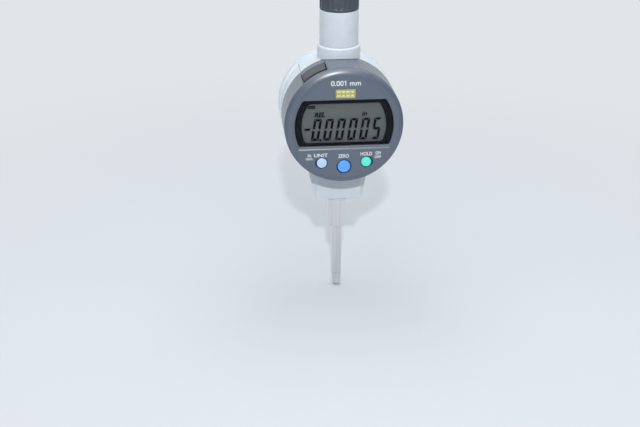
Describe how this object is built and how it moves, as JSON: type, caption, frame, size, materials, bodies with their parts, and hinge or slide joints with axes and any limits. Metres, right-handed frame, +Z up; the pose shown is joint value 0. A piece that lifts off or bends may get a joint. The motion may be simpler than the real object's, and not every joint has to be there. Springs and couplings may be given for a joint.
{
  "type": "digital indicator",
  "caption": "Digital indicator with a turning round display head, a clamping stem, a sprung spindle with a contact point and a lug back.",
  "frame": {"origin": "on the axis of the stem and spindle, halfway along the free length of the stem", "axes": "+Z up along the spindle axis, -Y out of the display face towards the reader, +X to the reader's right"},
  "size_m": [0.059, 0.06, 0.1696],
  "materials": {
    "housing_paint": "satin pale grey paint on die-cast aluminium",
    "head_plastic": "fine-textured dark blue-grey plastic",
    "dark_plastic": "matt charcoal plastic",
    "clear_lens": "clear acrylic window",
    "lcd_glass": "grey-green liquid crystal glass",
    "circuit_board": "green solder mask",
    "black_rubber": "moulded rubber",
    "cover_rubber": "moulded grey rubber",
    "pale_blue_key": "semi-gloss key",
    "blue_key": "semi-gloss key",
    "green_key": "semi-gloss key",
    "ground_steel": "ground and hardened",
    "steel_screw": "plated screw",
    "spring_wire": "spring steel wire",
    "brass_part": "plain brass",
    "bearing_bronze": "sintered bronze",
    "aluminium_part": "milled",
    "scale_glass": "glass-fibre laminate with conductor pattern"
  },
  "bodies": {
    "housing": {"main_housing": "housing_paint", "rear_cover": "housing_paint", "cover_gasket": "black_rubber", "cover_screws": "steel_screw", "stem": "ground_steel", "stem_bush": "bearing_bronze", "stop_bumper": "black_rubber", "upper_bush": "bearing_bronze", "neck_tube": "housing_paint", "cap": "dark_plastic", "guide_rail": "brass_part", "detector_board": "circuit_board", "board_screws": "steel_screw", "stop_pin": "ground_steel", "friction_washer": "ground_steel", "retaining_plate": "ground_steel", "retainer_screws": "steel_screw", "return_spring": "spring_wire"},
    "display_head": {"front_bezel": "head_plastic", "rear_shell": "head_plastic", "display_window": "clear_lens", "lcd_panel": "lcd_glass", "lcd_frame": "dark_plastic", "contact_strip": "black_rubber", "main_board": "circuit_board", "button_pad": "black_rubber", "battery_holder": "dark_plastic", "battery": "ground_steel", "battery_contact": "brass_part", "battery_lid": "head_plastic", "connector_cover": "cover_rubber", "output_connector": "dark_plastic", "head_screws": "steel_screw"},
    "left_button": {"left_button": "pale_blue_key"},
    "middle_button": {"middle_button": "blue_key"},
    "right_button": {"right_button": "green_key"},
    "spindle": {"spindle": "ground_steel", "contact_point": "ground_steel", "scale_holder": "aluminium_part", "main_scale": "scale_glass", "guide_pin": "ground_steel", "holder_screw": "steel_screw", "spring_seat": "brass_part"}
  },
  "joints": [
    {"name": "head_swivel", "type": "hinge", "parent": "housing", "child": "display_head", "pos_m": [0, -0.0165, 0.05635], "axis": [0, -1, 0], "range_deg": [-165, 165]},
    {"name": "spindle_slide", "type": "slide", "parent": "housing", "child": "spindle", "axis": [0, 0, 1], "range_m": [0, 0.0254], "stiffness_N_per_m": 31, "springref_m": -0.03, "deforming": ["return_spring"]},
    {"name": "left_button_press", "type": "slide", "parent": "display_head", "child": "left_button", "axis": [0, 1, 0], "range_m": [0, 0.0005], "stiffness_N_per_m": 1000, "springref_m": -0.0005},
    {"name": "middle_button_press", "type": "slide", "parent": "display_head", "child": "middle_button", "axis": [0, 1, 0], "range_m": [0, 0.0005], "stiffness_N_per_m": 1000, "springref_m": -0.0005},
    {"name": "right_button_press", "type": "slide", "parent": "display_head", "child": "right_button", "axis": [0, 1, 0], "range_m": [0, 0.0005], "stiffness_N_per_m": 1000, "springref_m": -0.0005}
  ]
}
